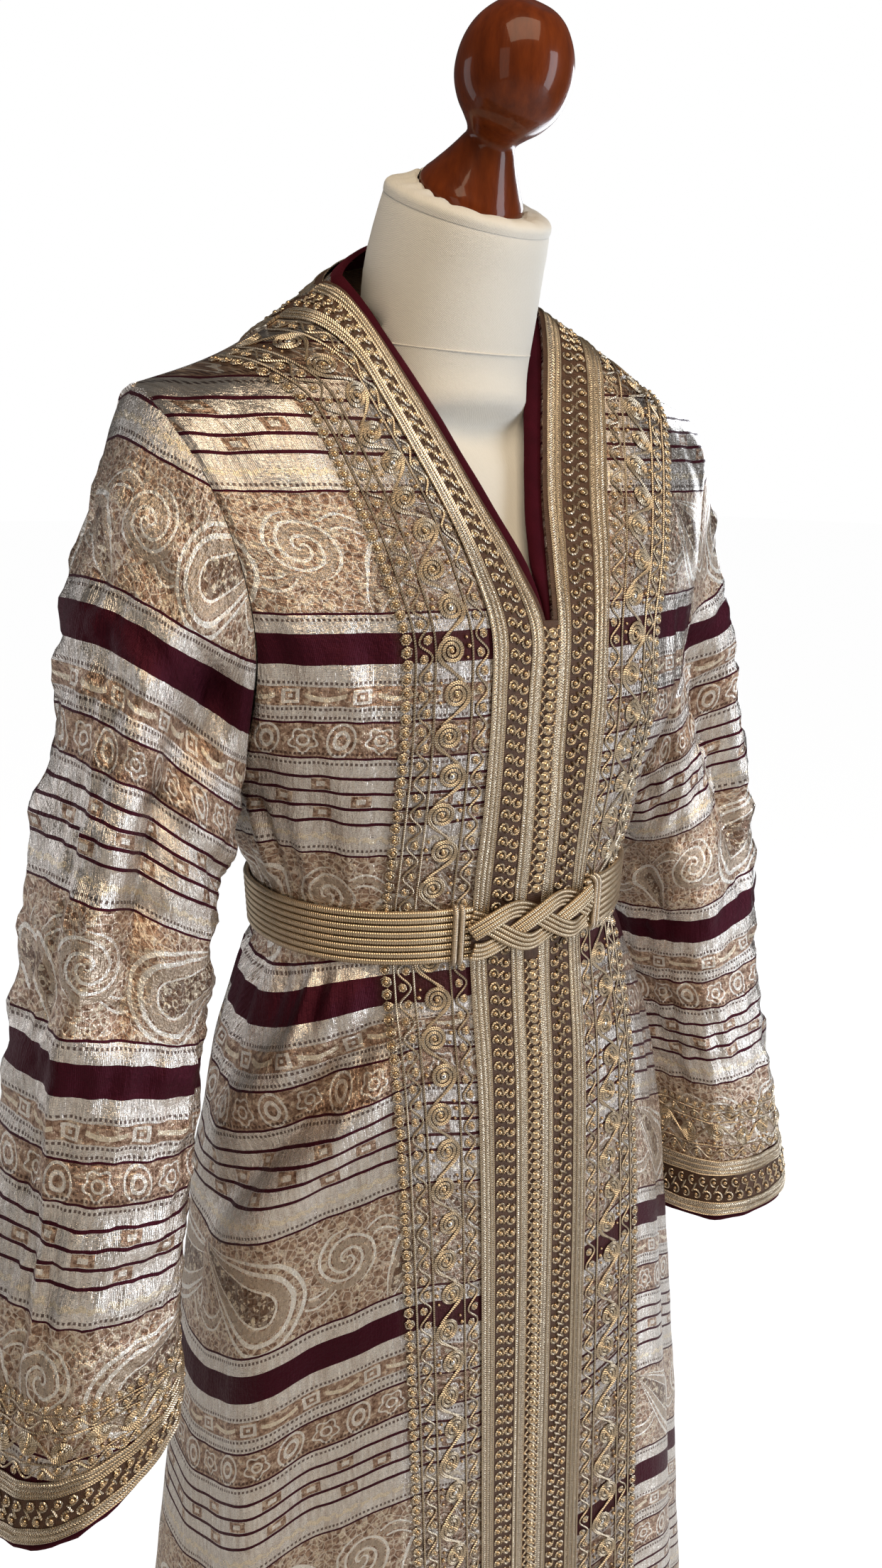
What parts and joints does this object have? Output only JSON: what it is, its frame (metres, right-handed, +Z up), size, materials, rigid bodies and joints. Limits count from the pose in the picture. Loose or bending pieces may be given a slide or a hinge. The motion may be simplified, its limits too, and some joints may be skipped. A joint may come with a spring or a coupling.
{
  "type": "moroccan kaftan on a dress form",
  "caption": "Long brocade kaftan with embroidered front, wide sleeves and a corded belt, on a limbless dress form with a wooden stand.",
  "frame": {"origin": "centre of the stand's round base, on the floor", "axes": "+Z up, the front of the garment faces -Y, the wearer's right is -X"},
  "size_m": [0.7776, 0.4263, 1.6457],
  "materials": {
    "brocade": "satin",
    "gold_trim": "satin",
    "belt_cord": "satin",
    "velvet": "matte",
    "form_jersey": "matte",
    "mahogany": "gloss"
  },
  "bodies": {
    "root": {"back_panel": "brocade", "front_right": "brocade", "front_left": "brocade", "sleeve_right": "brocade", "sleeve_left": "brocade", "placket_band_right": "gold_trim", "placket_band_left": "gold_trim", "neck_band_back": "gold_trim", "button_strip": "gold_trim", "cuff_band_right": "gold_trim", "cuff_band_left": "gold_trim", "neck_facing": "velvet", "cuff_facing_right": "velvet", "cuff_facing_left": "velvet", "belt_strap": "belt_cord", "belt_knot": "belt_cord", "belt_keeper_right": "belt_cord", "belt_keeper_left": "belt_cord", "form_body": "form_jersey", "form_finial": "mahogany", "form_pole": "mahogany", "form_base": "mahogany"}
  },
  "joints": []
}
